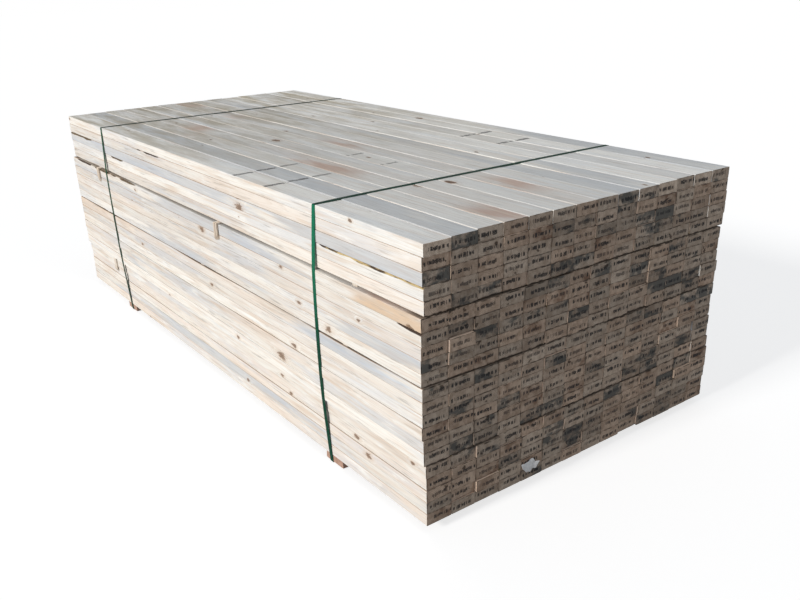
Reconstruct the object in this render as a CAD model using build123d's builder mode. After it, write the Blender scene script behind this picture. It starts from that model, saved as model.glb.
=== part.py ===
# Mill bundle of pine studs: tiers of studs parted by laths, on two runners, held by two plastic straps.
# Millimetres. X runs along the studs, Y across them and Z up. The near end is at +X.
# The origin is the bottom centre of the whole bundle's box.
import os
import random

from build123d import *

# Studs: surfaced two-by-four stock, nine feet long, with eased long edges
stud_length = 2743.0
stud_width = 88.9
stud_thickness = 38.1
eased_edge = 2.5

# Stack: tiers are listed from the bottom up, and nothing in it is quite flush
studs_per_layer = 14
layers_per_tier = (5, 6, 5, 5)
side_gap = 0.5
end_offset = 7.0
side_offset = 1.5
tier_shift = 8.0
tier_shift_shares = (0.4, -0.9, -1.0, 0.0)
scatter_seed = 21

# Laths in the gaps between tiers, from the lower gap up and from the far end to the near end
lath_width = 25.0
lath_thickness = 6.5
lath_setback = 6.0
lath_levels = ("lower", "middle", "upper")
lath_stations = ("far", "centre", "near")
lath_place_shares = ((-0.366, 0.022, 0.380), (-0.360, 0.012, 0.365), (-0.3665, 0.078, 0.385))

# Laths whose end has snapped and hangs down the seen side
snapped_laths = ("lath_lower_far", "lath_upper_far", "lath_upper_centre")
snapped_length = 52.0
snapped_bevel = 3.0
snapped_slant = 12.0
snapped_clearance = 0.3

# Runners: rough boards under the bundle, one inside each strap
runner_width = 100.0
runner_thickness = 25.0

# Straps: flat plastic bands, each closed by a welded lap on the hidden side
strap_width = 19.0
strap_thickness = 1.0
strap_stations = ("far", "near")
strap_place_shares = (-0.327, 0.317)
strap_off_runner_centre = 25.0
lap_length = 60.0
lap_height_share = 0.5

# Torn paper scrap on the near end, flat against one stud and curling off beside it
paper_width = 70.0
paper_height = 46.0
paper_thickness = 0.4
paper_curl = 9.0
paper_flat_share = 0.6
studs_beside_paper_count = 4
layers_below_paper_count = 1
paper_drop_share = 0.35
torn_edge_shares = ((0.0, 0.78), (0.06, 0.5), (0.3, 0.06), (0.52, 0.0), (0.68, 0.2), (0.86, 0.12),
                    (1.0, 0.62), (0.8, 0.6), (0.66, 1.0), (0.36, 0.84))

# Sizes that follow
column_pitch = stud_width + side_gap
outer_column = column_pitch * (studs_per_layer - 1) / 2
layer_width = stud_width + 2 * outer_column
scatter = random.Random(scatter_seed)


def end_shift():
    return end_offset * scatter.triangular(-1, 1) ** 3  # most ends nearly flush, a few standing out


# Places of every layer and every stud
layer_places = []
stud_places = []
tier_tops = []
top = strap_thickness + runner_thickness
for tier, layer_count in enumerate(layers_per_tier):
    for _ in range(layer_count):
        layer_y = tier_shift * tier_shift_shares[tier] + side_offset * scatter.uniform(-1, 1)
        layer_z = top + stud_thickness / 2
        layer_places.append((layer_y, layer_z))
        stud_places.append([
            (end_shift(), layer_y - outer_column + column * column_pitch, layer_z)
            for column in range(studs_per_layer)
        ])
        top += stud_thickness
    tier_tops.append(top)
    top += lath_thickness

pieces = []


def finish(part, label):
    part.label = label
    pieces.append(part)


# Stud layers, numbered from the bottom up
with BuildSketch() as stud_section:
    Rectangle(stud_width, stud_thickness)
    chamfer(stud_section.vertices(), eased_edge)

with BuildPart() as stud:
    with BuildSketch(Plane.YZ.offset(-stud_length / 2)):
        add(stud_section.sketch)
    extrude(amount=stud_length)

for number, places in enumerate(stud_places, start=1):
    with BuildPart() as stud_layer:
        with Locations(*places):
            add(stud.part)
    finish(stud_layer.part, f"stud_layer_{number:02d}")

# Laths
for level, (name, shares) in enumerate(zip(lath_levels, lath_place_shares)):
    below = sum(layers_per_tier[: level + 1]) - 1
    floor = tier_tops[level]
    ceiling = floor + lath_thickness
    left_faces = [layer_places[i][0] - layer_width / 2 for i in (below, below + 1)]
    right_faces = [face + layer_width for face in left_faces]
    left_end = max(left_faces) + lath_setback
    right_end = min(right_faces) - lath_setback
    hang_length = snapped_length + snapped_slant
    layers_behind = range(below - int(hang_length // stud_thickness), below + 1)
    hang_face = min(layer_places[i][0] for i in layers_behind) - layer_width / 2 - snapped_clearance
    hang_back = hang_face - lath_thickness
    for station, share in zip(lath_stations, shares):
        label = f"lath_{name}_{station}"
        outline = [(right_end, floor), (right_end, ceiling)]
        if label in snapped_laths:
            outline += [
                (hang_back + snapped_bevel, ceiling),
                (hang_back, ceiling - snapped_bevel),
                (hang_back, floor - snapped_length),
                (hang_face, floor - hang_length),
                (hang_face, floor),
            ]
        else:
            outline += [(left_end, ceiling), (left_end, floor)]
        with BuildPart() as lath:
            with BuildSketch(Plane.YZ.offset(stud_length * share - lath_width / 2)):
                with BuildLine():
                    Polyline(*outline, close=True)
                make_face()
            extrude(amount=lath_width)
        finish(lath.part, label)

# Section that a strap is pulled tight round: the stack's sides, its top and the runners
runner_y = layer_places[0][0]
runner_z = strap_thickness + runner_thickness / 2
stud_sides = stud_section.edges().filter_by(Axis.Y).sort_by(Axis.X)
stud_top = stud_section.edges().sort_by(Axis.Y)[-1]
outer_columns = (-outer_column, outer_column)
with BuildSketch() as held_section:
    with Locations((runner_y, runner_z)):
        Rectangle(layer_width, runner_thickness)
    stack_edges = [
        stud_side.moved(Location((y + column, z)))
        for y, z in layer_places
        for column, stud_side in zip(outer_columns, stud_sides)
    ]
    top_y, top_z = layer_places[-1]
    stack_edges += [stud_top.moved(Location((top_y + column, top_z))) for column in outer_columns]
    make_hull(held_section.edges() + stack_edges, mode=Mode.REPLACE)

lap_y = held_section.sketch.bounding_box().max.X
lap_z = tier_tops[-1] * lap_height_share

for station, share in zip(strap_stations, strap_place_shares):
    strap_x = stud_length * share
    strap_plane = Plane.YZ.offset(strap_x - strap_width / 2)

    with BuildPart() as strap:
        with BuildSketch(strap_plane):
            offset(held_section.sketch, amount=strap_thickness, mode=Mode.ADD)
            add(held_section.sketch, mode=Mode.SUBTRACT)
        extrude(amount=strap_width)
        with BuildSketch(strap_plane):
            with Locations((lap_y, lap_z)):
                Rectangle(stud_width, lap_length)
            offset(held_section.sketch, amount=2 * strap_thickness, mode=Mode.INTERSECT)
            offset(held_section.sketch, amount=strap_thickness, mode=Mode.SUBTRACT)
        extrude(amount=strap_width)
    finish(strap.part, f"strap_{station}")

    with BuildPart() as runner:
        with BuildSketch(Plane.YZ.offset(strap_x + strap_off_runner_centre - runner_width / 2)):
            with Locations((runner_y, runner_z)):
                Rectangle(layer_width, runner_thickness)
        extrude(amount=runner_width)
    finish(runner.part, f"runner_{station}")

# Paper scrap: a curling sheet, trimmed to a torn outline
covered_studs = [stud_places[layers_below_paper_count - i][studs_beside_paper_count] for i in (0, 1)]
paper_x = max(place[0] for place in covered_studs) + (stud_length + paper_thickness) / 2
paper_left = min(place[1] for place in covered_studs) - stud_width / 2
paper_floor = covered_studs[0][2] - stud_thickness / 2 - paper_height * paper_drop_share
with BuildPart() as paper_scrap:
    with BuildSketch(Plane.XY.offset(paper_floor)):
        with BuildLine():
            flat = Line((paper_x, paper_left), (paper_x, paper_left + paper_width * paper_flat_share))
            TangentArc(flat @ 1, (paper_x + paper_curl, paper_left + paper_width), tangent=flat % 1)
        trace(line_width=paper_thickness)
    extrude(amount=paper_height)
    with BuildSketch(Plane.YZ.offset(paper_x - paper_thickness)):
        with BuildLine():
            Polyline(
                *[(paper_left + paper_width * u, paper_floor + paper_height * v) for u, v in torn_edge_shares],
                close=True,
            )
        make_face()
    extrude(amount=paper_curl + 2 * paper_thickness, mode=Mode.INTERSECT)
finish(paper_scrap.part, "paper_scrap")

# Move the whole bundle to its origin and write it out
box = Compound(pieces).bounding_box()
to_origin = Location((-box.center().X, -box.center().Y, -box.min.Z))
os.makedirs("parts", exist_ok=True)
for piece in pieces:
    export_step(piece.moved(to_origin), f"parts/{piece.label}.step")
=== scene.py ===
import math
import random

import bmesh
import bpy
import numpy as np
from mathutils import Matrix, Vector
from mathutils.geometry import convex_hull_2d


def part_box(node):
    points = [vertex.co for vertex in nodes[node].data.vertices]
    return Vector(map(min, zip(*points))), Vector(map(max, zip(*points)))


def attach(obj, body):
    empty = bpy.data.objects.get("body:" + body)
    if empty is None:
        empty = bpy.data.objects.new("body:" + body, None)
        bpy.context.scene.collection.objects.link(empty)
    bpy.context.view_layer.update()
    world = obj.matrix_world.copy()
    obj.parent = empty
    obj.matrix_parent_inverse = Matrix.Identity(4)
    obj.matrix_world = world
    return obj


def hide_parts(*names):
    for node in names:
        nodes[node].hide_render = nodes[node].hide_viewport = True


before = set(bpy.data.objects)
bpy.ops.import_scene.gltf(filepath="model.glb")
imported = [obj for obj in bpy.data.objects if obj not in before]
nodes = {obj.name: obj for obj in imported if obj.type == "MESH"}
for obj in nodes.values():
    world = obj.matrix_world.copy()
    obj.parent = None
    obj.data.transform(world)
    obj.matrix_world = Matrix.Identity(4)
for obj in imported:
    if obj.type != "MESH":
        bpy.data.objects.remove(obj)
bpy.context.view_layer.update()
print("frame loaded:", len(nodes), "nodes")


# Shader node helpers, which work on the tree that is being built

building = {"tree": None}


def feed(value, socket):  # a link or a plain value
    if isinstance(value, bpy.types.NodeSocket):
        building["tree"].links.new(value, socket)
    elif value is not None:
        socket.default_value = value


def put(kind, *values, **settings):
    node = building["tree"].nodes.new("ShaderNode" + kind)
    for key, setting in settings.items():
        setattr(node, key, setting)
    for socket, value in zip(node.inputs, values):
        feed(value, socket)
    return node


def calc(operation, a, b=None, c=None):
    return put("Math", a, b, c, operation=operation).outputs[0]


def times(a, b):
    return calc("MULTIPLY", a, b)


def plus(a, b):
    return calc("ADD", a, b)


def minus(a, b):
    return calc("SUBTRACT", a, b)


def most(a, b):
    return calc("MAXIMUM", a, b)


def least(a, b):
    return calc("MINIMUM", a, b)


def scaleAdd(value, factor, offset):
    return calc("MULTIPLY_ADD", value, factor, offset)


def move(operation, a, b=None):  # vector arithmetic
    return put("VectorMath", a, b, operation=operation).outputs[0]


def measure(vector):
    return put("VectorMath", vector, operation="LENGTH").outputs["Value"]


def step(value, low, high, bottom=0.0, top=1.0):  # soft step
    return put("MapRange", value, low, high, bottom, top, interpolation_type="SMOOTHSTEP").outputs[0]


def split(vector):
    return put("SeparateXYZ", vector).outputs


def join(x, y, z):
    return put("CombineXYZ", x, y, z).outputs[0]


def cloud(place, scale, detail=2.0, roughness=0.5):
    node = put("TexNoise", move("MULTIPLY", place, scale))
    node.inputs["Scale"].default_value = 1.0
    node.inputs["Detail"].default_value = detail
    node.inputs["Roughness"].default_value = roughness
    return node.outputs[0]


def tint(factor, a, b, mode="MIX"):
    node = put("Mix", data_type="RGBA", blend_type=mode)
    feed(factor, node.inputs[0])
    for value, socket in ((a, node.inputs[6]), (b, node.inputs[7])):
        feed((*value, 1.0) if isinstance(value, tuple) else value, socket)
    return node.outputs[2]


def attribute(name, output):
    return put("Attribute", attribute_name=name).outputs[output]


def newGroup(name, inputs, outputs):
    group = bpy.data.node_groups.new(name, "ShaderNodeTree")
    building["tree"] = group
    for label, kind in inputs.items():
        group.interface.new_socket(label, in_out="INPUT", socket_type="NodeSocket" + kind)
    for label in outputs:
        group.interface.new_socket(label, in_out="OUTPUT", socket_type="NodeSocketFloat")
    entry = group.nodes.new("NodeGroupInput")
    leave = group.nodes.new("NodeGroupOutput")
    return group, entry.outputs, leave.inputs


def use(group, **values):
    node = put("Group", node_tree=group)
    for label, value in values.items():
        feed(value, node.inputs[label])
    return node.outputs


def newMaterial(name, specular):
    material = bpy.data.materials.new(name)
    material.use_nodes = True
    building["tree"] = material.node_tree
    shader = material.node_tree.nodes["Principled BSDF"]
    shader.inputs["Specular IOR Level"].default_value = specular
    return material, shader


def emptyTree(owner):  # clears the nodes of a material or the sky
    owner.use_nodes = True
    building["tree"] = owner.node_tree
    owner.node_tree.nodes.clear()


def relief(shader, height, strength, distance):
    bump = put("Bump")
    bump.inputs["Strength"].default_value = strength
    bump.inputs["Distance"].default_value = distance
    feed(height, bump.inputs["Height"])
    feed(bump.outputs[0], shader.inputs["Normal"])


# Effects that several materials share

knotStretch = (0.5, 1.0, 1.0)  # knots are twice as long along the grain as across it


def makeGrowthRings():  # place runs along the grain in X, with the pith on its axis
    group, given, out = newGroup("growthRings", {"place": "Vector", "ringWidth": "Float", "warp": "Float"},
                                 ("late", "radius"))
    sway = minus(cloud(given["place"], (0.9, 11.0, 11.0)), 0.5)
    x, y, z = split(given["place"])
    away = measure(join(0.0, y, z))
    radius = scaleAdd(sway, given["warp"], away)
    uneven = cloud(join(0.0, 0.0, radius), (1.0, 1.0, 55.0))
    turn = plus(calc("DIVIDE", radius, given["ringWidth"]), times(uneven, 3.0))
    share = calc("FRACT", turn)
    slowRise = step(share, 0.3, 0.9)
    quickFall = step(share, 0.93, 1.0, 1.0, 0.0)
    feed(times(slowRise, quickFall), out["late"])
    feed(radius, out["radius"])
    return group


def makeFibreStreaks():
    group, given, out = newGroup("fibreStreaks", {"place": "Vector"}, ("broad", "fine"))
    feed(cloud(given["place"], (3.6, 70.0, 70.0), 3.0), out["broad"])
    feed(cloud(given["place"], (7.0, 480.0, 480.0), 2.0), out["fine"])
    return group


def makeStainStreaks():  # blue stain that creeps along the grain
    group, given, out = newGroup("stainStreaks", {"place": "Vector", "amount": "Float"}, ("mask",))
    drift = cloud(given["place"], (1.5, 19.0, 19.0), 4.0, 0.6)
    start = scaleAdd(given["amount"], -0.42, 0.74)
    feed(step(drift, start, plus(start, 0.16)), out["mask"])
    return group


def makeKnotField():  # how many knot radii away the nearest small knot is
    group, given, out = newGroup("knotField", {"place": "Vector", "facing": "Vector"}, ("ratio",))
    cell = (0.62, 0.085, 0.085)
    scaled = move("DIVIDE", given["place"], cell)
    spots = put("TexVoronoi", scaled)
    spots.inputs["Scale"].default_value = 1.0
    offset = move("MULTIPLY", move("SUBTRACT", scaled, spots.outputs["Position"]), cell)
    across = move("SUBTRACT", knotStretch, move("ABSOLUTE", given["facing"]))
    chance = split(spots.outputs["Color"])[0]
    radius = step(chance, 0.55, 1.0, 0.0003, 0.0065)
    feed(calc("DIVIDE", measure(move("MULTIPLY", offset, across)), radius), out["ratio"])
    return group


def makeInkBars():  # generic ink bars in a row, u along the row and v across it, in metres
    group, given, out = newGroup("inkBars", {"u": "Float", "v": "Float", "seed": "Float"}, ("mask",))
    barPitch, barHalf, rowHalf, strayAt, strayHalf, soft = 0.0062, 0.0068, 0.0265, 0.036, 0.0028, 0.0012
    cells = calc("DIVIDE", given["u"], barPitch)
    chance = put("TexWhiteNoise", noise_dimensions="2D")
    feed(join(calc("FLOOR", cells), given["seed"], 0.0), chance.inputs["Vector"])
    wide, high, low = split(chance.outputs["Color"])
    bar = calc("LESS_THAN", calc("FRACT", cells), step(wide, 0.04, 0.6, 0.25, 1.0))
    row = step(calc("ABSOLUTE", given["u"]), rowHalf, rowHalf + soft, 1.0, 0.0)
    strayAway = calc("ABSOLUTE", minus(given["u"], strayAt))
    stray = step(strayAway, strayHalf, strayHalf + soft, 1.0, 0.0)
    printed = most(times(bar, row), stray)
    over = minus(given["v"], step(high, 0.0, 1.0, barHalf * 0.5, barHalf))
    under = minus(step(low, 0.0, 1.0, -barHalf * 0.5, -barHalf), given["v"])
    tall = step(most(over, under), -soft, soft, 1.0, 0.0)
    strength = put("TexWhiteNoise", noise_dimensions="1D")
    feed(given["seed"], strength.inputs["W"])
    firm = step(strength.outputs["Value"], 0.0, 0.5, 0.7, 1.0)
    spotted = cloud(join(given["u"], given["v"], given["seed"]), (300.0, 300.0, 1.0), 2.0)
    mask = times(times(printed, tall), step(spotted, 0.22, 0.46))
    feed(times(mask, firm), out["mask"])
    return group


growthRings = makeGrowthRings()
fibreStreaks = makeFibreStreaks()
stainStreaks = makeStainStreaks()
knotField = makeKnotField()
inkBars = makeInkBars()
print("shared effects made")

woodColours = {
    "sapwood": (0.89, 0.86, 0.80),
    "flame": (0.92, 0.905, 0.87),
    "peach": (0.86, 0.745, 0.65),
    "cool": (0.635, 0.67, 0.725),
    "rust": (0.52, 0.335, 0.255),
    "tan": (0.77, 0.565, 0.385),
    "lateWood": (0.70, 0.57, 0.455),
    "blueStain": (0.50, 0.53, 0.575),
    "weathered": (0.61, 0.645, 0.65),
    "darkerPatch": (0.37, 0.325, 0.24),
    "fibre": (0.40, 0.37, 0.33),
    "knot": (0.36, 0.20, 0.10),
    "knotRim": (0.09, 0.05, 0.028),
    "bark": (0.055, 0.033, 0.021),
    "innerBark": (0.62, 0.47, 0.23),
    "jointRimBrown": (0.72, 0.52, 0.38),
    "jointShadeAndDirt": (0.09, 0.07, 0.053),
    "ink": (0.018, 0.018, 0.02),
}

endColours = {
    "grain": (0.335, 0.255, 0.193),
    "pale": (0.545, 0.443, 0.35),
    "heart": (0.13, 0.062, 0.037),
    "lateWood": (0.225, 0.15, 0.10),
    "blueStain": (0.08, 0.086, 0.083),
    "check": (0.035, 0.026, 0.02),
    "shadeAndGrime": (0.03, 0.023, 0.018),
    "pocket": (0.028, 0.017, 0.011),
    "greyer": (0.97, 1.0, 1.025),
    "ruddier": (1.045, 0.99, 0.965),
}


def makePlanedPine():  # long faces of the studs, with their knots, stain, wane and ink, and painted shade and dirt in the joints
    inkRows = (0.365, 0.575)  # places along X
    jointShadeReach = (1.28, 1.34)  # distance from mid-length over which the painted shade and dirt in the joints thicken
    colours = woodColours
    material, shader = newMaterial("planedPine", 0.3)
    local = attribute("local", "Vector")
    place = attribute("place", "Vector")
    facing = put("NewGeometry").outputs["Normal"]
    lightness, stain, warmth = put("SeparateColor", attribute("tone", "Color")).outputs
    inked = attribute("tone", "Alpha")
    x, y, z = split(local)

    knotX, knotAcross, knotRadius = split(attribute("knot", "Vector"))
    sideways = move("SUBTRACT", knotStretch, move("ABSOLUTE", facing))
    lowKnot = times(knotAcross, 0.3)  # the narrow faces leave a knot less room
    offset = move("SUBTRACT", local, join(knotX, knotAcross, lowKnot))
    mainKnot = calc("DIVIDE", measure(move("MULTIPLY", offset, sideways)), knotRadius)
    smallKnots = use(knotField, place=place, facing=facing)["ratio"]
    ragged = scaleAdd(cloud(local, (70.0, 190.0, 190.0), 3.0), 1.3, -0.65)
    ratio = plus(least(mainKnot, smallKnots), ragged)
    knot = step(ratio, 0.6, 1.1, 1.0, 0.0)
    rim = step(plus(ratio, times(ragged, 1.2)), 0.4, 1.1, 1.0, 0.0)
    swirl = step(ratio, 0.9, 3.0, 0.010, 0.0)

    bent = move("ADD", place, join(0.0, swirl, swirl))
    late = use(growthRings, place=bent, ringWidth=0.0046, warp=0.03)["late"]
    streaks = use(fibreStreaks, place=bent)
    upward = step(split(facing)[2], 0.5, 0.9)
    patches = cloud(place, (2.4, 15.0, 15.0), 4.0, 0.6)
    coolPatches = cloud(move("ADD", place, (7.0, 0.3, 0.2)), (1.3, 14.0, 14.0), 4.0, 0.6)
    glow = times(warmth, step(patches, 0.3, 0.6))
    flush = step(cloud(place, (5.5, 30.0, 30.0), 4.0, 0.6), 0.46, 0.68, 0.0, 0.75)
    flush = times(flush, scaleAdd(warmth, 0.75, 0.35))
    colour = tint(most(glow, flush), colours["sapwood"], colours["peach"])
    coolness = least(scaleAdd(stain, 0.6, 0.4), 0.95)
    coolness = times(coolness, step(coolPatches, 0.44, 0.62))
    colour = tint(coolness, colour, colours["cool"])
    flames = cloud(move("ADD", place, (2.0, 0.6, 0.9)), (7.0, 42.0, 42.0), 4.0, 0.6)
    colour = tint(step(flames, 0.52, 0.68, 0.0, 0.8), colour, colours["flame"])
    heart = cloud(move("ADD", place, (3.0, 0.1, 0.4)), (3.0, 18.0, 18.0), 4.0, 0.6)
    reddened = plus(warmth, scaleAdd(heart, 0.3, -0.15))
    rusty = times(step(reddened, 0.8, 1.17), step(heart, 0.28, 0.52))
    heartwood = tint(upward, colours["tan"], colours["rust"])  # weather darkens it
    colour = tint(rusty, colour, heartwood)
    colour = tint(times(late, 0.25), colour, colours["lateWood"])
    colour = tint(step(streaks["broad"], 0.48, 0.72, 0.0, 0.7), colour, colours["lateWood"])
    dashes = cloud(move("ADD", place, (4.0, 0.2, 0.6)), (8.0, 150.0, 150.0), 3.0, 0.6)
    colour = tint(step(dashes, 0.56, 0.74, 0.0, 0.6), colour, colours["fibre"])
    colour = tint(step(swirl, 0.004, 0.010, 0.0, 0.4), colour, colours["lateWood"])
    blue = use(stainStreaks, place=place, amount=stain)["mask"]
    colour = tint(times(blue, 0.6), colour, colours["blueStain"])
    bleached = times(upward, scaleAdd(rusty, -0.3, 0.45))
    colour = tint(bleached, colour, colours["weathered"])
    grey = cloud(move("ADD", place, (1.0, 0.7, 0.5)), (2.4, 13.0, 13.0), 4.0, 0.65)
    farther = step(x, -1.3, 1.25, 0.95, 0.0)  # the top is darker and browner towards the far end
    darkerPatch = times(times(upward, step(grey, 0.34, 0.66)), farther)
    colour = tint(darkerPatch, colour, colours["darkerPatch"])
    hairy = scaleAdd(upward, 0.3, 0.28)  # raised fibres show most where rain falls
    fibre = times(step(streaks["fine"], 0.5, 0.75), hairy)
    colour = tint(fibre, colour, colours["fibre"])
    shade = scaleAdd(lightness, 0.34, 0.72)
    shade = least(shade, scaleAdd(upward, 0.17, 1.08))  # sunlit sides stay unclipped
    colour = tint(1.0, colour, put("CombineColor", shade, shade, shade).outputs[0], "MULTIPLY")
    knotted = times(knot, scaleAdd(upward, 0.2, 0.65))
    colour = tint(knotted, colour, colours["knot"])
    core = times(rim, scaleAdd(upward, 0.35, 0.57))  # darkest on top
    colour = tint(core, colour, colours["knotRim"])

    wane = step(attribute("wane", "Fac"), 0.52, 0.72)
    flakes = cloud(local, (16.0, 130.0, 130.0), 4.0, 0.7)
    barky = most(step(flakes, 0.45, 0.58), step(x, 0.2, 0.8, 0.85, 0.0))
    barky = most(barky, step(warmth, 0.15, 0.3))  # black on the warm studs
    barkColour = tint(barky, colours["innerBark"], colours["bark"])
    colour = tint(wane, colour, barkColour)
    rows = [
        use(inkBars, u=times(y, 0.3), v=times(minus(x, rowX), 0.6), seed=inked)["mask"]
        for rowX in inkRows
    ]
    upper = step(split(facing)[2], 0.8, 0.95)
    ink = times(most(*rows), calc("GREATER_THAN", inked, 0.02))
    ink = times(times(ink, upper), 0.9)
    colour = tint(ink, colour, colours["ink"])
    # painted shade and dirt: joints and lath gaps are darkened where little light reaches, brown at the rim
    # and dark within, patchy along the length and full near the ends
    patchy = step(cloud(move("ADD", place, (6.0, 0.4, 0.8)), (1.4, 9.0, 9.0), 3.0), 0.4, 0.62, 0.05, 0.95)
    nearEnds = step(calc("ABSOLUTE", x), *jointShadeReach, patchy, 1.0)
    seamShadeAndDirt = times(attribute("jointShadeAndDirt", "Fac"), minus(1.0, wane))
    jointRimBrown = times(step(seamShadeAndDirt, 0.02, 0.08, 0.0, 0.75), nearEnds)
    colour = tint(jointRimBrown, colour, colours["jointRimBrown"])
    jointShadeAndDirt = times(step(seamShadeAndDirt, 0.1, 1.0), nearEnds)
    colour = tint(times(jointShadeAndDirt, 0.85), colour, colours["jointShadeAndDirt"])
    feed(colour, shader.inputs["Base Color"])
    feed(step(streaks["fine"], 0.3, 0.7, 0.58, 0.78), shader.inputs["Roughness"])
    height = scaleAdd(streaks["fine"], 0.5, times(late, 0.25))
    height = plus(height, times(knot, -0.5))
    height = plus(height, times(times(wane, flakes), 3.0))
    relief(shader, height, 0.5, 0.0008)
    return material


def makeSawnEnd():  # saw-cut ends, with rings, heart, stain, checks and ink
    sideEdge, topEdge = (0.0412, 0.0438), (0.0158, 0.0184)  # where the painted shade and grime round each stud's end start and are full
    colours = endColours
    material, shader = newMaterial("sawnEnd", 0.2)
    local = attribute("local", "Vector")
    place = attribute("place", "Vector")
    lightness, stain, warmth = put("SeparateColor", attribute("tone", "Color")).outputs
    flip, stampU, stampV = split(attribute("stamp", "Vector"))
    x, y, z = split(local)
    rings = use(growthRings, place=place, ringWidth=0.0042, warp=0.012)
    along, aside, above = split(place)
    across = join(0.0, aside, above)
    angle = calc("ARCTAN2", above, aside)
    mottle = cloud(place, (40.0, 45.0, 45.0), 5.0, 0.65)
    colour = tint(step(mottle, 0.32, 0.66), colours["grain"], colours["pale"])
    hue = tint(step(warmth, 0.1, 0.7), colours["greyer"], colours["ruddier"])
    colour = tint(1.0, colour, hue, "MULTIPLY")
    heartEdge = scaleAdd(cloud(place, (8.0, 22.0, 22.0), 3.0), 0.08, rings["radius"])
    heart = times(step(heartEdge, 0.065, 0.095, 1.0, 0.0), step(warmth, 0.45, 0.9))
    heart = times(heart, step(cloud(place, (6.0, 30.0, 40.0), 4.0, 0.6), 0.36, 0.6))
    colour = tint(times(heart, 0.8), colour, colours["heart"])
    colour = tint(times(rings["late"], 0.42), colour, colours["lateWood"])
    smoke = cloud(place, (3.0, 17.0, 25.0), 5.0, 0.62)
    start = scaleAdd(stain, -0.40, 0.79)
    blue = step(smoke, start, plus(start, 0.14), 0.0, 0.9)
    colour = tint(blue, colour, colours["blueStain"])
    spokes = cloud(join(times(angle, 9.0), rings["radius"], along), (1.0, 30.0, 1.0), 1.0)
    thin = calc("ABSOLUTE", minus(spokes, 0.5))
    rare = step(cloud(across, (30.0, 30.0, 30.0)), 0.56, 0.66)
    check = times(step(thin, 0.004, 0.012, 1.0, 0.0), rare)
    colour = tint(times(check, 0.8), colour, colours["check"])
    kerf = cloud(join(y, z, 0.0), (900.0, 25.0, 1.0), 2.0)  # saw lines run up the end
    colour = tint(step(kerf, 0.45, 0.75, 0.0, 0.3), colour, colours["lateWood"])
    pockets = cloud(move("ADD", place, (5.0, 2.0, 3.0)), (6.0, 36.0, 44.0), 3.0)
    colour = tint(step(pockets, 0.66, 0.73, 0.0, 0.85), colour, colours["pocket"])
    # painted shade and grime: a dark, patchy rim round each stud's end, where the joints between the ends lie
    # in shade
    edges = most(step(calc("ABSOLUTE", y), *sideEdge), step(calc("ABSOLUTE", z), *topEdge))
    patchyRim = step(cloud(place, (6.0, 45.0, 45.0), 3.0), 0.4, 0.62, 0.0, 0.95)
    colour = tint(times(edges, patchyRim), colour, colours["shadeAndGrime"])
    shade = scaleAdd(lightness, 0.7, 0.55)
    colour = tint(1.0, colour, put("CombineColor", shade, shade, shade).outputs[0], "MULTIPLY")
    u = plus(times(y, flip), stampU)
    v = plus(times(z, flip), stampV)
    ink = use(inkBars, u=u, v=v, seed=times(stampU, 1000.0))["mask"]
    nearEnd = calc("GREATER_THAN", x, 0.0)
    ink = times(times(ink, nearEnd), 0.95)
    colour = tint(ink, colour, woodColours["ink"])
    feed(colour, shader.inputs["Base Color"])
    feed(step(mottle, 0.2, 0.8, 0.75, 0.95), shader.inputs["Roughness"])
    height = scaleAdd(kerf, 0.8, times(rings["late"], 0.3))
    height = minus(height, check)
    relief(shader, height, 0.6, 0.001)
    return material


def makeCrossWood(name, values):  # laths and runners, whose grain runs across the bundle
    material, shader = newMaterial(name, 0.25)
    x, y, z = split(put("TexCoord").outputs["Object"])
    place = join(y, plus(x, values["pithAway"]), plus(z, values["pithAway"]))
    late = use(growthRings, place=place, ringWidth=values["ringWidth"], warp=0.02)["late"]
    streaks = use(fibreStreaks, place=place)
    blue = use(stainStreaks, place=place, amount=values["stain"])["mask"]
    colour = tint(times(late, 0.4), values["early"], values["late"])
    colour = tint(step(streaks["broad"], 0.4, 0.75, 0.0, 0.65), colour, values["late"])
    colour = tint(times(blue, 0.6), colour, woodColours["blueStain"])
    saw = cloud(join(y, x, z), (420.0, 8.0, 90.0), 2.0)
    colour = tint(step(saw, 0.5, 0.8, 0.0, values["sawMarks"]), colour, values["late"])
    tail = step(y, values["tailY"], values["tailY"] + values["tailFade"], 0.55, 0.0)
    colour = tint(tail, colour, values["late"])  # a snapped end is darker
    feed(colour, shader.inputs["Base Color"])
    feed(step(streaks["fine"], 0.2, 0.8, 0.7, 0.92), shader.inputs["Roughness"])
    height = scaleAdd(saw, values["sawMarks"], times(streaks["fine"], 0.6))
    relief(shader, height, 0.6, 0.0012)
    return material


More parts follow.
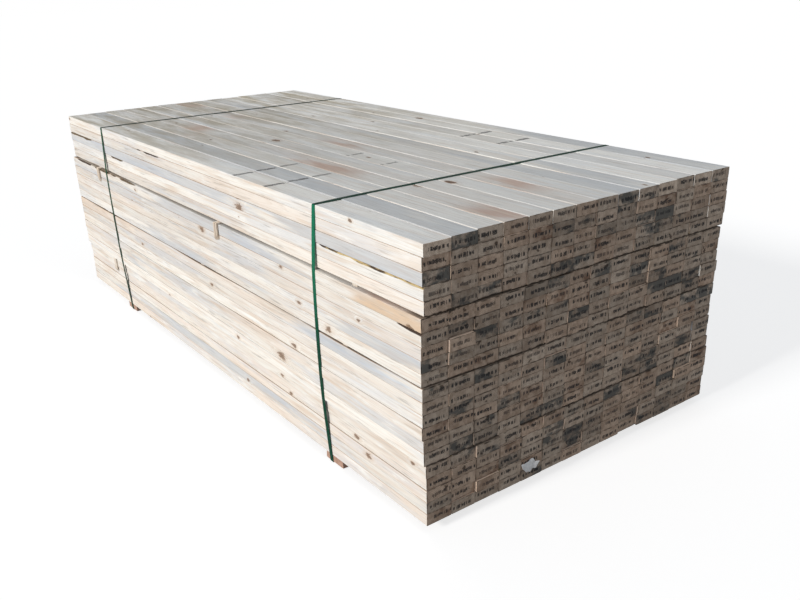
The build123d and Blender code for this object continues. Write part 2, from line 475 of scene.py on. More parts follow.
def makeStrapPlastic():  # green polyester strap with a pressed waffle, with painted shade where it lies flat and in the waffle's hollows
    colours = {"green": (0.016, 0.27, 0.14), "deep": (0.003, 0.04, 0.022), "scuff": (0.06, 0.19, 0.125),
               "olive": (0.03, 0.052, 0.032), "shadeAndGrime": (0.004, 0.012, 0.009)}
    wafflePitch = 0.0026
    material, shader = newMaterial("strapPlastic", 0.07)
    place = put("TexCoord").outputs["Object"]
    x, y, z = split(place)
    along = plus(y, z)
    pitchTurn = 2 * math.pi / wafflePitch
    rising = calc("SINE", times(plus(along, x), pitchTurn))
    falling = calc("SINE", times(minus(along, x), pitchTurn))
    waffle = times(rising, falling)
    wear = cloud(place, (70.0, 14.0, 14.0), 4.0, 0.65)
    # painted shade: the waffle's hollows are coloured dark green, its crests green
    colour = tint(step(waffle, -0.6, 0.4), colours["deep"], colours["green"])
    colour = tint(step(wear, 0.55, 0.75, 0.0, 0.4), colour, colours["scuff"])
    flat = step(split(put("NewGeometry").outputs["Normal"])[2], 0.6, 0.95)
    colour = tint(step(z, 0.36, 0.74, 0.97, 0.0), colour, colours["deep"])
    colour = tint(step(x, -0.3, 0.3, 0.8, 0.0), colour, colours["olive"])  # the far strap is dusty
    # painted shade: the strap's flat runs over the top are coloured near black, patchy with wear
    shadedTop = times(flat, step(wear, 0.25, 0.7, 0.97, 0.85))
    colour = tint(shadedTop, colour, colours["shadeAndGrime"])
    feed(colour, shader.inputs["Base Color"])
    feed(step(wear, 0.3, 0.7, 0.55, 0.75), shader.inputs["Roughness"])
    relief(shader, waffle, 0.35, 0.0004)
    return material


def makeTornPaper():
    colours = {"sheet": (0.88, 0.88, 0.88), "darkerPatch": (0.62, 0.61, 0.59), "crease": (0.45, 0.45, 0.45)}
    material, shader = newMaterial("tornPaper", 0.25)
    place = put("TexCoord").outputs["Object"]
    soil = cloud(place, (30.0, 45.0, 45.0), 4.0, 0.6)
    folds = cloud(place, (60.0, 60.0, 60.0), 1.0)
    crease = step(calc("ABSOLUTE", minus(folds, 0.5)), 0.0, 0.02, 1.0, 0.0)
    colour = tint(step(soil, 0.45, 0.75, 0.0, 0.7), colours["sheet"], colours["darkerPatch"])
    colour = tint(times(crease, 0.5), colour, colours["crease"])
    feed(colour, shader.inputs["Base Color"])
    feed(step(soil, 0.2, 0.8, 0.7, 0.9), shader.inputs["Roughness"])
    relief(shader, plus(folds, times(soil, 0.4)), 0.5, 0.002)
    return material


lathLook = {
    "early": (0.84, 0.775, 0.69), "late": (0.60, 0.47, 0.35),
    "ringWidth": 0.0045, "pithAway": 0.09, "stain": 0.25, "sawMarks": 0.3,
    "tailY": -0.6292, "tailFade": 0.001,
}
runnerLook = {
    "early": (0.52, 0.34, 0.26), "late": (0.30, 0.175, 0.125),
    "ringWidth": 0.006, "pithAway": 0.12, "stain": 0.2, "sawMarks": 0.7,
    "tailY": -1.0, "tailFade": 0.001,  # no tail
}
planedPine = makePlanedPine()
sawnEnd = makeSawnEnd()
lathWood = makeCrossWood("lathWood", lathLook)
runnerWood = makeCrossWood("runnerWood", runnerLook)
strapPlastic = makeStrapPlastic()
tornPaper = makeTornPaper()
print("materials made")


# Modelling helpers

smoothAngle = math.radians(40)
nearby = 0.001  # tolerance when picking


def startPiece(name):  # takes the primitive just added, at its size, and opens it in edit mode
    piece = bpy.context.active_object
    piece.name = name
    piece.data.name = name
    bpy.ops.object.transform_apply(location=True, rotation=True, scale=True)
    bpy.ops.object.mode_set(mode="EDIT")
    return piece


def startBox(name, middle, size):
    bpy.ops.mesh.primitive_cube_add(size=1, location=middle)
    bpy.context.active_object.scale = size
    return startPiece(name)


def cutThrough(place, axis):
    bpy.ops.mesh.select_all(action="SELECT")
    bpy.ops.mesh.bisect(plane_co=place, plane_no=axis)


def clearSelection():
    bpy.ops.object.select_all(action="DESELECT")


def pick(piece, kind, test):  # selects the faces, edges or verts whose middle passes the test
    bpy.ops.mesh.select_mode(type={"faces": "FACE", "edges": "EDGE", "verts": "VERT"}[kind])
    bpy.ops.mesh.select_all(action="DESELECT")
    shape = bmesh.from_edit_mesh(piece.data)
    for part in getattr(shape, kind):
        if kind == "faces":
            middle = part.calc_center_median()
        elif kind == "edges":
            middle = (part.verts[0].co + part.verts[1].co) / 2
        else:
            middle = part.co
        if test(middle):
            part.select_set(True)
    shape.select_flush_mode()
    bmesh.update_edit_mesh(piece.data)


def extrude(*delta):
    bpy.ops.mesh.extrude_region_move(TRANSFORM_OT_translate={"value": delta})


def applyModifier(piece, kind, **settings):
    modifier = piece.modifiers.new(kind.title(), kind)
    for key, setting in settings.items():
        setattr(modifier, key, setting)
    bpy.ops.object.modifier_apply(modifier=modifier.name)


def finishPiece(piece, slot, node, *materials):
    for material in materials:
        piece.data.materials.append(material)
    clearSelection()
    piece.select_set(True)
    bpy.context.view_layer.objects.active = piece
    bpy.ops.object.shade_smooth_by_angle(angle=smoothAngle)
    applyModifier(piece, "WEIGHTED_NORMAL", keep_sharp=True)  # flats stay flat beside rounded edges
    clearSelection()
    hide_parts(node)
    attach(piece, "root")


clearSelection()

# Studs, one joined mesh for each layer

studShape = {
    "columns": 14, "layers": 21, "sideGap": 0.0005, "arcPoints": 4, "endEase": 0.0008,
    "openStations": 60, "hiddenStations": 2,  # stations along the seen and the hidden studs
    "waneFade": 0.07, "barkFrom": 0.001, "barkRamp": 0.002,  # depth of wane from which bark shows
    "trim": 0.005,  # how much shorter than the longest a stud may be cut at the near end
}
studSpread = {  # lowest and highest of what is drawn for each stud
    "easedRadius": (0.0022, 0.0034), "crook": (0, 0.0016), "bow": (0.0006, 0.0028),
    "topLean": (0.0, 0.0002),  # top studs lean away from the seen side
    "knotRadius": (0.003, 0.009), "knotX": (-1.3, 1.3), "knotAcross": (-0.03, 0.03),
    "waneDepth": (0.004, 0.013), "stampU": (-0.006, 0.006), "stampV": (-0.005, 0.005),
    "pithX": (0, 60), "pithY": (-0.07, 0.07), "pithZ": (-0.06, 0.06), "slope": (-0.012, 0.012),
}

topDrops = {  # millimetres that the top studs lie low, from the seen side across
    "far": (2.8, 2.4, 1.6, 1.2, 1.0, 0.0, 0.8, 0.6, 0.0, 1.2, 0.0, 0.6, 0.1, 0.3),
    "middle": (3.0, 1.5, 1.2, 1.6, 1.1, 1.6, 2.1, 1.2, 2.0, 1.0, 1.6, 1.6, 0.6, 0.8),
    "near": (3.0, 1.6, 0.6, 0.0, 0.4, 0.3, 0.0, 1.0, 1.8, 0.9, 0.0, 0.5, 0.5, 0.6),
}

lathGaps = {  # layers just under and over each gap, whose studs bow into it between the laths
    "lower": (5, 6), "middle": (11, 12), "upper": (16, 17),
}
gapShape = {"lathClear": 0.06, "lathFade": 0.2, "bowedStations": 9}

tones = {  # lightness, stain and warmth
    "bright": (1.55, 0.2, 0.0),
    "white": (1.0, 0.1, 0.05),
    "cream": (0.85, 0.2, 0.35),
    "peach": (0.85, 0.1, 0.75),
    "grey": (0.7, 0.6, 0.25),
    "blue": (0.85, 0.95, 0.1),
    "rust": (0.85, 0.2, 0.75),
    "stained": (0.5, 0.8, 0.3),
}
toneSpread = {"seen": 0.06, "hidden": 0.22}
toneChances = {"white": 3, "cream": 5, "peach": 4, "grey": 2.5, "blue": 1.5, "rust": 2, "stained": 3}

sideTones = (  # seen side, from the top layer down
    "bright", "peach", "blue", "white", "peach",
    "grey", "cream", "peach", "white", "white",
    "peach", "cream", "white", "peach", "cream", "white",
    "cream", "peach", "peach", "grey", "peach",
)
topTones = (  # top layer, from the seen side across
    "cream", "blue", "white", "cream", "cream", "white", "cream",
    "white", "grey", "bright", "bright", "white", "bright", "bright",
)

sidePatches = (  # layer from the top, start and end along X, and what shows there
    (6, 0.9, 1.9, "tan"), (11, -1.9, -0.5, "amber"), (9, 0.85, 1.5, "stain"), (10, -0.65, 0.15, "stain"),
    (11, 0.7, 1.5, "stain"), (15, -0.9, -0.55, "stain"), (20, -0.4, 0.25, "stain"),
    (6, -0.9, 0.9, "stain"), (2, 0.5, 1.9, "fresh"), (5, 0.6, 1.9, "fresh"), (2, -1.9, -0.2, "dull"),
    (5, -1.9, 0.1, "dull"), (7, -1.9, 0.2, "dull"), (8, -0.5, 0.7, "dull"), (9, -1.9, -0.1, "dull"),
    (12, -1.9, 0.3, "dull"), (10, 0.1, 0.75, "dull"), (14, -1.0, 0.2, "dull"),
)
topPatches = (  # the same, with the stud counted from the seen side
    (3, -0.6, -0.3, "heart"), (4, -0.77, -0.39, "heart"), (4, 0.14, 0.73, "heart"),
    (4, 1.08, 1.5, "heart"), (7, -1.5, -1.05, "heart"), (7, -0.91, -0.6, "heart"),
    (7, -0.04, 0.38, "heart"), (7, 0.87, 1.26, "heart"), (9, -0.95, -0.15, "stain"),
    (10, 0.85, 1.5, "stain"), (9, 0.9, 1.5, "stain"), (14, 0.3, 1.5, "stain"),
)
patchTones = {
    "heart": (0.8, 0.2, 1.15), "tan": (0.8, 0.1, 1.1), "amber": (0.9, 0.1, 0.95),
    "stain": (0.85, 0.9, 0.1), "dull": (0.6, 0.4, 0.45), "fresh": (1.05, 0.1, 0.55),
}
patchFade = 0.4

sideWane = (  # on upper edges: layer from the top, start and end along X, and depth
    (2, -0.60, -0.15, 0.0045), (3, -1.40, -1.05, 0.009), (4, -0.91, -0.64, 0.007),
    (4, 0.86, 1.45, 0.0075), (6, -1.40, -0.45, 0.005), (7, 1.22, 1.45, 0.008),
)

sideKnots = {  # place along X, place across and radius
    3: (0.39, -0.03, 0.014), 6: (1.32, -0.06, 0.009), 7: (0.08, 0.03, 0.011), 9: (0.76, 0.0, 0.007),
    10: (0.93, 0.0, 0.010), 12: (0.11, 0.0, 0.007), 15: (0.61, 0.0, 0.014), 16: (0.29, 0.0, 0.007),
    17: (0.59, 0.0, 0.006), 18: (1.03, 0.0, 0.008), 19: (1.09, 0.0, 0.009),
}
topKnots = {
    4: (0.9, 0.04, 0.012), 5: (-0.08, 0.01, 0.015), 6: (0.93, -0.034, 0.014), 13: (-0.1, 0.025, 0.013),
}
inkedTop, inkSeeds = (1, 2, 3, 6, 12, 13), 20  # top studs with ink, and what divides their seeds
waneChance, hiddenWane = 0.3, (0.4, 2.0)  # hidden studs have theirs towards the near end
upperSeen = 1  # corner of a section: the upper edge on the seen side
waneRipple = {"mean": 0.62, "slow": (0.2, 23), "quick": (0.18, 59), "depthPhase": 900}
knotChance, noKnot = 0.4, 0.0002
paperColumn, paperLayers = 4, (1, 2)  # studs that the paper lies on
jointDarkening = {  # painted shade and dirt in the joints and lath gaps, from a stud's sides round to its top and bottom
    "inside": (0.1, 0.7, 1.0, 0.25), "onLaths": (0.1, 0.7, 1.0, 0.85), "bottom": (0.1, 0.1, 0.1, 0.1),
    "top": (0.0, 0.0, 0.0, 0.0), "side": (0.0, 0.0, 0.5, 0.8),
}
cornerAngles = (0.0, math.pi / 2, math.pi, 3 * math.pi / 2)
cornerSigns = np.array(((1, 1), (-1, 1), (-1, -1), (1, -1)), float)


def readStuds(layer, dice):  # places of a layer's studs, from the CAD node, with their looks
    def draw(key):
        return dice.uniform(*studSpread[key])

    node = nodes[f"stud_layer_{layer:02d}"]
    corners = np.array([vertex.co for vertex in node.data.vertices])
    low, high = corners.min(0), corners.max(0)
    pitch = (high[1] - low[1] + studShape["sideGap"]) / studShape["columns"]
    columns = ((corners[:, 1] - low[1] + studShape["sideGap"] / 2) / pitch).astype(int)
    fromTop = studShape["layers"] + 1 - layer
    studs = []
    rests, faces = (), (0, 0)  # laths that the layer meets, and which of its top and bottom meet them
    for level, gap in lathGaps.items():
        if layer in gap:
            boxes = [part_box(name) for name in nodes if name.startswith(f"lath_{level}")]
            rests = [(low.x + high.x) / 2 for low, high in boxes]
            faces = (1, 0) if layer == gap[0] else (0, 1)
    for column in range(studShape["columns"]):
        mine = corners[columns == column]
        start, end = mine.min(0), mine.max(0)
        onTop, onSide, onBack = fromTop == 1, column == 0, column == studShape["columns"] - 1
        tone = dice.choices(list(toneChances), list(toneChances.values()))[0]
        knotSize = draw("knotRadius") if dice.random() < knotChance else noKnot
        knot = (draw("knotX"), draw("knotAcross"), knotSize)
        joint = "onLaths" if rests else "bottom" if layer == 1 else "inside"
        if onSide or onBack:
            joint = "side"
        if onTop:
            tone = topTones[column]
            knot = topKnots.get(column + 1, knot)
            joint = "top"
        if onSide:
            tone = sideTones[fromTop - 1]
            knot = sideKnots.get(fromTop, knot)
        wane = [(upperSeen, *spot) for place, *spot in sideWane if onSide and place == fromTop]
        waneCorner, waneDepth = dice.randrange(4), draw("waneDepth")
        if dice.random() < waneChance and not onSide and not onTop:
            wane.append((waneCorner, *hiddenWane, waneDepth))
        spread = toneSpread["seen" if onSide or onTop else "hidden"]
        byPaper = column == paperColumn and layer in paperLayers
        inked = onTop and column + 1 in inkedTop
        studs.append({
            "middle": (start + end) / 2,
            "half": (end - start) / 2,
            "radius": draw("easedRadius"),
            "crook": draw("crook") * (onSide - onBack),
            "drops": [topDrops[place][column] / 1000 if onTop else 0.0 for place in topDrops],
            "rests": rests,
            "bow": np.array(faces) * draw("bow"),
            "trim": 0.0 if byPaper else studShape["trim"] * dice.random() ** 2,
            "lean": draw("topLean") if onTop else 0.0,
            "open": onTop or onSide or onBack or layer == 1,
            "tone": (*[max(0.0, share + dice.uniform(-spread, spread)) for share in tones[tone]],
                     (column + 1) / inkSeeds if inked else 0.0),
            "patches": [spot for place, *spot in sidePatches if onSide and place == fromTop]
            + [spot for place, *spot in topPatches if onTop and place == column + 1],
            "knot": knot,
            "stamp": (dice.choice((-1, 1)), draw("stampU"), draw("stampV")),
            "pith": (draw("pithX"), draw("pithY"), draw("pithZ")),
            "slope": (draw("slope"), draw("slope")),
            "wane": wane,
            "seam": jointDarkening[joint],
        })
    return studs


def sectionAt(stud, stations, inset=0.0):  # outlines in Y and Z at places along X, and their corner radii
    stations = np.asarray(stations, float)
    free = np.ones(len(stations))  # none at a lath, full between the laths
    radii = np.full((len(stations), 4), stud["radius"])
    (slow, slowTurn), (quick, quickTurn) = waneRipple["slow"], waneRipple["quick"]
    for corner, start, end, depth in stud["wane"]:
        inside = np.minimum(stations - start, end - stations) / studShape["waneFade"]
        ripple = slow * np.sin(stations * slowTurn + depth * waneRipple["depthPhase"])
        uneven = waneRipple["mean"] + ripple + quick * np.sin(stations * quickTurn)
        radii[:, corner] += depth * np.clip(inside, 0, 1) * uneven
    angles = np.array(cornerAngles)[:, None] + np.linspace(0, math.pi / 2, studShape["arcPoints"])
    arcs = np.stack((np.cos(angles), np.sin(angles)), -1)
    reach = stud["half"][1:] - inset
    centres = cornerSigns * (reach - radii[..., None])
    outline = centres[:, :, None, :] + radii[:, :, None, None] * arcs
    outline = outline.reshape(len(stations), -1, 2)
    along = (stations - stud["middle"][0]) / stud["half"][0]
    aside, above = np.moveaxis(outline / stud["half"][1:], -1, 0)
    far, half, near = stud["drops"]
    drop = half * (1 - along ** 2) + (near - far) / 2 * along + (near + far) / 2 * along ** 2
    sink = (drop[:, None] + stud["lean"] * (1 + aside)) * (1 + above) / 2
    for rest in stud["rests"]:
        away = np.abs(stations - rest) - gapShape["lathClear"]
        free = np.minimum(free, np.clip(away / gapShape["lathFade"], 0, 1))
    sink += free[:, None] * (stud["bow"][1] * (1 - above) - stud["bow"][0] * (1 + above)) / 2
    outline[..., 0] += stud["middle"][1] + (stud["crook"] * (1 - along ** 2))[:, None]
    outline[..., 1] += stud["middle"][2] - sink
    return outline, radii


def studArrays(stud):
    count = gapShape["bowedStations"] if stud["rests"] else studShape["hiddenStations"]
    if stud["open"]:
        count = studShape["openStations"]
    ease = studShape["endEase"]
    low, high = stud["middle"][0] - stud["half"][0], stud["middle"][0] + stud["half"][0] - stud["trim"]
    stations = np.concatenate(([low], np.linspace(low + ease, high - ease, count), [high]))
    outline, radii = sectionAt(stud, stations)
    outline[[0, -1]] = sectionAt(stud, stations[[0, -1]], ease)[0]
    ringSize = outline.shape[1]
    points = np.concatenate((np.broadcast_to(stations[:, None, None], (*outline.shape[:2], 1)), outline), -1)
    points = points.reshape(-1, 3)
    local = points - stud["middle"]
    pithX, pithY, pithZ = stud["pith"]
    slopeY, slopeZ = stud["slope"]
    place = local + np.stack((
        np.full(len(local), pithX), pithY + slopeY * local[:, 0], pithZ + slopeZ * local[:, 0],
    ), -1)
    arcShare = np.ones(studShape["arcPoints"])
    arcShare[[0, -1]] = 0.5
    deep = np.clip((radii - stud["radius"] - studShape["barkFrom"]) / studShape["barkRamp"], 0, 1)
    wane = (deep[:, :, None] * arcShare).reshape(-1)
    rings = np.arange(len(points)).reshape(len(stations), ringSize)
    nextUp = np.roll(rings, -1, 1)
    quads = np.stack((rings[:-1], nextUp[:-1], nextUp[1:], rings[1:]), -1).reshape(-1, 4)
    faces = quads.tolist() + [rings[0, ::-1].tolist(), rings[-1].tolist()]
    kinds = np.zeros(len(faces), int)
    kinds[:ringSize] = 1
    kinds[-ringSize - 2:] = 1
    tone = np.tile(stud["tone"], (len(points), 1))
    for start, end, kind in stud["patches"]:
        inside = np.minimum(points[:, 0] - start, end - points[:, 0]) / patchFade
        share = np.clip(inside + 0.5, 0, 1)[:, None]
        tone[:, :3] += share * (np.array(patchTones[kind]) - tone[:, :3])
    values = {"local": local, "place": place, "wane": wane[:, None], "tone": tone}
    values["jointShadeAndDirt"] = np.tile(stud["seam"] + stud["seam"][::-1], 2 * len(stations))[:, None]
    for name in ("knot", "stamp"):
        values[name] = np.tile(stud[name], (len(points), 1))
    return points, faces, kinds, values


attributeKinds = {  # kind of each point value
    "local": "FLOAT_VECTOR", "place": "FLOAT_VECTOR", "knot": "FLOAT_VECTOR", "stamp": "FLOAT_VECTOR",
    "tone": "FLOAT_COLOR", "wane": "FLOAT", "jointShadeAndDirt": "FLOAT",
}
kindFields = {"FLOAT_VECTOR": "vector", "FLOAT_COLOR": "color", "FLOAT": "value"}


def makeLayer(layer, studs):
    name = f"studs_{layer:02d}"
    points, faces, kinds, gathered = [], [], [], {key: [] for key in attributeKinds}
    count = 0
    for stud in studs:
        studPoints, studFaces, studKinds, values = studArrays(stud)
        points.append(studPoints)
        faces += [[index + count for index in face] for face in studFaces]
        kinds.append(studKinds)
        for key, value in values.items():
            gathered[key].append(value)
        count += len(studPoints)
    mesh = bpy.data.meshes.new(name)
    mesh.from_pydata(np.concatenate(points).tolist(), [], faces)
    mesh.polygons.foreach_set("material_index", np.concatenate(kinds))
    for key, kind in attributeKinds.items():
        values = mesh.attributes.new(key, kind, "POINT")
        numbers = np.concatenate(gathered[key]).astype(np.float32)
        values.data.foreach_set(kindFields[kind], numbers.ravel())
    mesh.update()
    piece = bpy.data.objects.new(name, mesh)
    bpy.context.scene.collection.objects.link(piece)
    finishPiece(piece, "pine", f"stud_layer_{layer:02d}", planedPine, sawnEnd)


studDice = random.Random(8)
stack = [readStuds(layer, studDice) for layer in range(1, studShape["layers"] + 1)]
for layer, studs in enumerate(stack, start=1):
    makeLayer(layer, studs)
print("studs made:", sum(len(studs) for studs in stack))


# Laths, some with a snapped end hanging down the seen side

lathShape = {
    "thickness": 0.0065, "edgeBevel": 0.0005, "splits": (0.24, 0.42, 0.56, 0.78), "splinter": 0.016,
    "tipSlant": 0.012, "bendBevel": 0.004,
    "tails": {  # snapped laths, with the shares of their width that hang down
        "lath_lower_far": ((0.0, 1.0),),
        "lath_upper_far": ((0.0, 1.0),),
        "lath_upper_centre": ((0.0, 0.42), (0.56, 1.0)),
    },
}


def makeLath(node, dice):
    low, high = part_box(node)
    thick = lathShape["thickness"]
    tails = lathShape["tails"].get(node, ())
    face = low.y + thick if tails else low.y
    floor = high.z - thick
    size = Vector((high.x - low.x, high.y - face, thick))
    middle = ((low.x + high.x) / 2, (face + high.y) / 2, floor + thick / 2)
    piece = startBox(node.replace("lath", "spacer"), middle, size)
    for share in lathShape["splits"]:
        cutThrough((low.x + size.x * share, 0, 0), (1, 0, 0))

    def hangs(spot):
        share = (spot.x - low.x) / size.x
        return any(start < share < end for start, end in tails)

    if tails:
        pick(piece, "faces", lambda spot: spot.y < face + nearby and hangs(spot))
        extrude(0, -thick, 0)
        pick(piece, "faces", lambda spot: spot.z < floor + nearby and spot.y < face)
        extrude(0, 0, low.z - floor)
        pick(piece, "verts", lambda spot: spot.z < low.z + nearby)
        shape = bmesh.from_edit_mesh(piece.data)
        tips = [vertex for vertex in shape.verts if vertex.select]
        strands = sorted({round(vertex.co.x, 4) for vertex in tips})
        lifts = {strand: dice.uniform(0, lathShape["splinter"]) for strand in strands}
        for vertex in tips:  # a splintered tip, longer on the bundle's side
            outer = vertex.co.y < face - thick / 2
            vertex.co.z += lifts[round(vertex.co.x, 4)] + (lathShape["tipSlant"] if outer else 0.0)
        bmesh.update_edit_mesh(piece.data)
        pick(piece, "edges", lambda spot: spot.z > high.z - nearby and spot.y < low.y + nearby)
        bpy.ops.mesh.bevel(offset=lathShape["bendBevel"], segments=2)
    bpy.ops.object.mode_set(mode="OBJECT")
    applyModifier(piece, "BEVEL", width=lathShape["edgeBevel"], segments=1, limit_method="ANGLE")
    finishPiece(piece, "lath_wood", node, lathWood)


lathDice = random.Random(3)
lathNodes = sorted(name for name in nodes if name.startswith("lath_"))
for node in lathNodes:
    makeLath(node, lathDice)
print("laths made:", len(lathNodes))


# Runners: rough-sawn boards

runnerShape = {"bevel": 0.003, "cuts": 26, "roughness": 0.0012}


def makeRunner(node, dice):
    low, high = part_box(node)
    inset = Vector((1, 1, 0)) * runnerShape["roughness"]
    piece = startBox(node.replace("runner", "bearer"), (low + high) / 2, high - low - 2 * inset)
    for cut in range(1, runnerShape["cuts"]):
        place = low.y + (high.y - low.y) * cut / runnerShape["cuts"]
        cutThrough((0, place, 0), (0, 1, 0))
    bpy.ops.object.mode_set(mode="OBJECT")
    applyModifier(piece, "BEVEL", width=runnerShape["bevel"], segments=2, limit_method="ANGLE")
    for vertex in piece.data.vertices:  # sawn edges wander a little
        vertex.co.x += dice.uniform(-1, 1) * runnerShape["roughness"]
    finishPiece(piece, "runner_wood", node, runnerWood)


runnerDice = random.Random(5)
for node in ("runner_far", "runner_near"):
    makeRunner(node, runnerDice)
print("runners made")


# Straps, pulled tight round the stack and lapped on the hidden side

strapShape = {
    "thickness": 0.0009, "clearance": 0.00005, "lap": 0.06, "lapHeight": 0.5, "longestRun": 0.07,
    "runnerCorner": 0.0012, "edgeBevel": 0.0002, "widthShare": 0.9, "lapLift": 1.02,
    "wander": {  # along X on the seen side, at its foot, middle and top
        "strap_far": (0.03, 0.0, -0.016), "strap_near": (0.011, -0.01, 0.0),
    },
}


def strapPath(node):  # points round the stack in Y and Z, upwards on the hidden side from the lap
    low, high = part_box(node)
    middle = (low.x + high.x) / 2
    runnerLow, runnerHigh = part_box(node.replace("strap", "runner"))
    corner = strapShape["runnerCorner"]
    held = [sectionAt(stud, [middle])[0][0] for studs in stack for stud in (studs[0], studs[-1])]
    held += [sectionAt(stud, [middle])[0][0] for stud in stack[-1]]
    foot = runnerLow.z
    held.append(np.array([
        (runnerLow.y + corner, foot), (runnerHigh.y - corner, foot),
        (runnerLow.y, foot + corner), (runnerHigh.y, foot + corner),
    ]))
    held = np.concatenate(held)
    hull = [Vector(held[index]) for index in convex_hull_2d(held.tolist())]
    area = sum(a.x * b.y - b.x * a.y for a, b in zip(hull, hull[1:] + hull[:1]))
    if area < 0:
        hull.reverse()
    lapStart = high.z * strapShape["lapHeight"] - strapShape["lap"] / 2
    runs = []
    for a, b in zip(hull, hull[1:] + hull[:1]):
        parts = max(1, math.ceil((b - a).length / strapShape["longestRun"]))
        runs += [a.lerp(b, part / parts) for part in range(parts)]
    hidden = [i for i, point in enumerate(runs) if point.x > 0]
    first = min(hidden, key=lambda i: abs(runs[i].y - lapStart))
    return runs[first:] + runs[:first], middle, (low, high)


def makeStrap(node):
    path, middle, (low, high) = strapPath(node)
    width = (high.x - low.x) * strapShape["widthShare"]
    clearance, thickness = strapShape["clearance"], strapShape["thickness"]
    foot, half, crest = strapShape["wander"][node]

    def spot(index, lift):  # a path point pushed out by the strap's own layers
        before, here, after = path[index - 1], path[index], path[(index + 1) % len(path)]
        ways = [(b - a).normalized() for a, b in ((before, here), (here, after))]
        out = Vector((ways[0].y + ways[1].y, -ways[0].x - ways[1].x)).normalized()
        place = here + out * (clearance + lift)
        up = here.y / high.z
        nearness = (high.y - here.x) / (high.y - low.y)  # full on the seen side, none on the hidden one
        wander = foot * (1 - up) * (1 - 2 * up) + half * 4 * up * (1 - up) + crest * up * (2 * up - 1)
        wander *= nearness
        return Vector((middle + wander, place.x, place.y))

    route = [spot(index, 0.0) for index in range(len(path))]
    lapCount = max(2, round(strapShape["lap"] / strapShape["longestRun"]) + 1)
    route += [spot(index, thickness * strapShape["lapLift"]) for index in range(lapCount)]
    start, second = route[0], route[1]
    bpy.ops.mesh.primitive_plane_add(size=1, location=(start + second) / 2, rotation=(-math.pi / 2, 0, 0))
    bpy.context.active_object.scale = (width, (second - start).length, 1)
    piece = startPiece(node.replace("strap", "band"))
    pick(piece, "edges", lambda place: place.z > (start.z + second.z) / 2 + nearby)
    for here, after in zip(route[1:], route[2:]):
        extrude(*(after - here))
    bpy.ops.object.mode_set(mode="OBJECT")
    applyModifier(piece, "SOLIDIFY", thickness=thickness, offset=1)
    applyModifier(piece, "BEVEL", width=strapShape["edgeBevel"], segments=1, limit_method="ANGLE")
    finishPiece(piece, "strap_plastic", node, strapPlastic)


for node in ("strap_far", "strap_near"):
    makeStrap(node)
print("straps made")


# Torn paper scrap on the near end

paperShape = {
    "cells": (36, 24), "thickness": 0.0003, "crumple": 0.0015, "flatShare": 0.6, "jag": 0.012,
    "foldTurns": ((19, 7), (-5, 11)),
    "lower": ((0.0, 0.78), (0.06, 0.5), (0.3, 0.06), (0.52, 0.0), (0.68, 0.2), (0.86, 0.12), (1.0, 0.6)),
    "upper": ((0.0, 0.8), (0.36, 0.84), (0.66, 1.0), (0.8, 0.66), (1.0, 0.64)),
}


def makePaper(node, dice):
    low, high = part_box(node)
    size = high - low
    columns, rows = paperShape["cells"]
    bpy.ops.mesh.primitive_grid_add(x_subdivisions=columns, y_subdivisions=rows, size=1)
    piece = startPiece("torn_paper")
    bpy.ops.object.mode_set(mode="OBJECT")
    jags = [[dice.uniform(-1, 1) * paperShape["jag"] for _ in range(columns + 1)] for _ in range(2)]
    lower, upper = (np.array(paperShape[edge]) for edge in ("lower", "upper"))
    curl = size.x - paperShape["thickness"] - 2 * paperShape["crumple"]
    for vertex in piece.data.vertices:
        across, up = vertex.co.x + 0.5, vertex.co.y + 0.5
        column = round(across * columns)
        bottom = np.interp(across, *lower.T) + abs(jags[0][column])
        top = np.interp(across, *upper.T) - abs(jags[1][column])
        lift = max(0.0, (across - paperShape["flatShare"]) / (1 - paperShape["flatShare"]))
        fold = math.prod(math.sin(across * wide + up * tall) for wide, tall in paperShape["foldTurns"])
        vertex.co = (
            low.x + paperShape["crumple"] * (1 + fold) + curl * lift ** 2,
            low.y + size.y * across,
            low.z + size.z * (bottom + (top - bottom) * up),
        )
    applyModifier(piece, "SOLIDIFY", thickness=paperShape["thickness"], offset=1)
    finishPiece(piece, "paper", node, tornPaper)


makePaper("paper_scrap", random.Random(11))
print("paper made")


# Floor, light and camera

light = {
    "sunFrom": (-0.015, -0.913, 0.41), "sunStrength": 2.55, "sunColour": (1.0, 0.975, 0.935), "sunAngle": 9.0,
    "skyColour": (0.92, 0.98, 1.07), "skyStrength": 0.30,
    "floorGlow": 0.72, "floorSeen": 0.46, "floorBounce": 0.55, "floorSize": 80.0,
}


def backgroundRays():  # rays that should meet the plain white surroundings
    path = put("LightPath").outputs
    return most(most(path["Is Camera Ray"], path["Is Glossy Ray"]), path["Is Transmission Ray"])


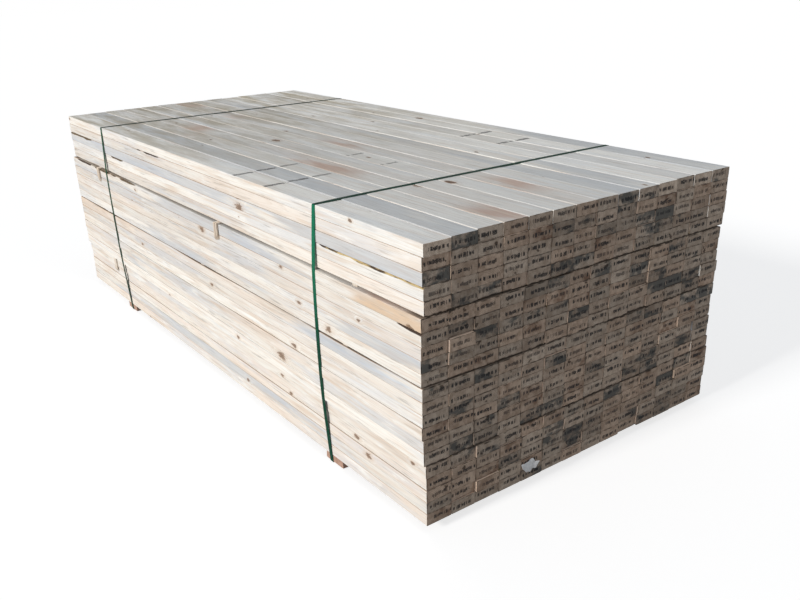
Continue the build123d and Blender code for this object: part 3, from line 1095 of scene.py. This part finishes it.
def makeFloor():
    bpy.ops.mesh.primitive_plane_add(size=light["floorSize"])
    floor = bpy.context.active_object
    floor.name = "floor"
    material = bpy.data.materials.new("paleFloor")
    emptyTree(material)
    seen = put("BsdfDiffuse", (light["floorSeen"],) * 3 + (1.0,)).outputs[0]
    glow = put("Emission", (1.0, 1.0, 1.0, 1.0), light["floorGlow"]).outputs[0]
    bounce = put("BsdfDiffuse", (light["floorBounce"],) * 3 + (1.0,)).outputs[0]
    shown = put("AddShader", seen, glow).outputs[0]
    mixed = put("MixShader", backgroundRays(), bounce, shown).outputs[0]
    put("OutputMaterial", mixed)
    floor.data.materials.append(material)


def makeSky():
    world = bpy.data.worlds.new("studioSky")
    emptyTree(world)
    sky = put("Background", (*light["skyColour"], 1.0), light["skyStrength"]).outputs[0]
    white = put("Background", (1.0, 1.0, 1.0, 1.0), 1.0).outputs[0]
    put("OutputWorld", put("MixShader", backgroundRays(), sky, white).outputs[0])
    bpy.context.scene.world = world


def makeSun():
    sun = bpy.data.lights.new("keySun", "SUN")
    sun.energy = light["sunStrength"]
    sun.color = light["sunColour"]
    sun.angle = math.radians(light["sunAngle"])
    lamp = bpy.data.objects.new("keySun", sun)
    lamp.rotation_euler = Vector(light["sunFrom"]).to_track_quat("Z", "Y").to_euler()
    bpy.context.scene.collection.objects.link(lamp)


cameraView = {  # fitted to the bundle's seven seen corners
    "place": (2.8898, -1.8117, 1.4416),
    "forward": (-0.73874, 0.54325, -0.39892), "up": (-0.30587, 0.2572, 0.91667),
    "focalPixels": 841.39, "centrePixel": (400.6, 337.49), "imagePixels": (800, 600),
    "sensor": 36.0, "clipEnd": 200.0,
}


def makeCamera():
    view = bpy.data.cameras.new("camera")
    wide, tall = cameraView["imagePixels"]
    centreX, centreY = cameraView["centrePixel"]
    view.sensor_fit = "HORIZONTAL"
    view.sensor_width = cameraView["sensor"]
    view.lens = cameraView["focalPixels"] / wide * cameraView["sensor"]
    view.shift_x = (wide / 2 - centreX) / wide
    view.shift_y = (centreY - tall / 2) / wide
    view.clip_end = cameraView["clipEnd"]
    forward, up = Vector(cameraView["forward"]).normalized(), Vector(cameraView["up"])
    right = forward.cross(up).normalized()
    camera = bpy.data.objects.new("camera", view)
    axes = Matrix((right, right.cross(forward), -forward)).transposed().to_4x4()
    camera.matrix_world = Matrix.Translation(cameraView["place"]) @ axes
    bpy.context.scene.collection.objects.link(camera)
    bpy.context.scene.camera = camera


makeFloor()
makeSky()
makeSun()
makeCamera()
bpy.context.scene.view_settings.view_transform = "Standard"
print("floor, light and camera set")
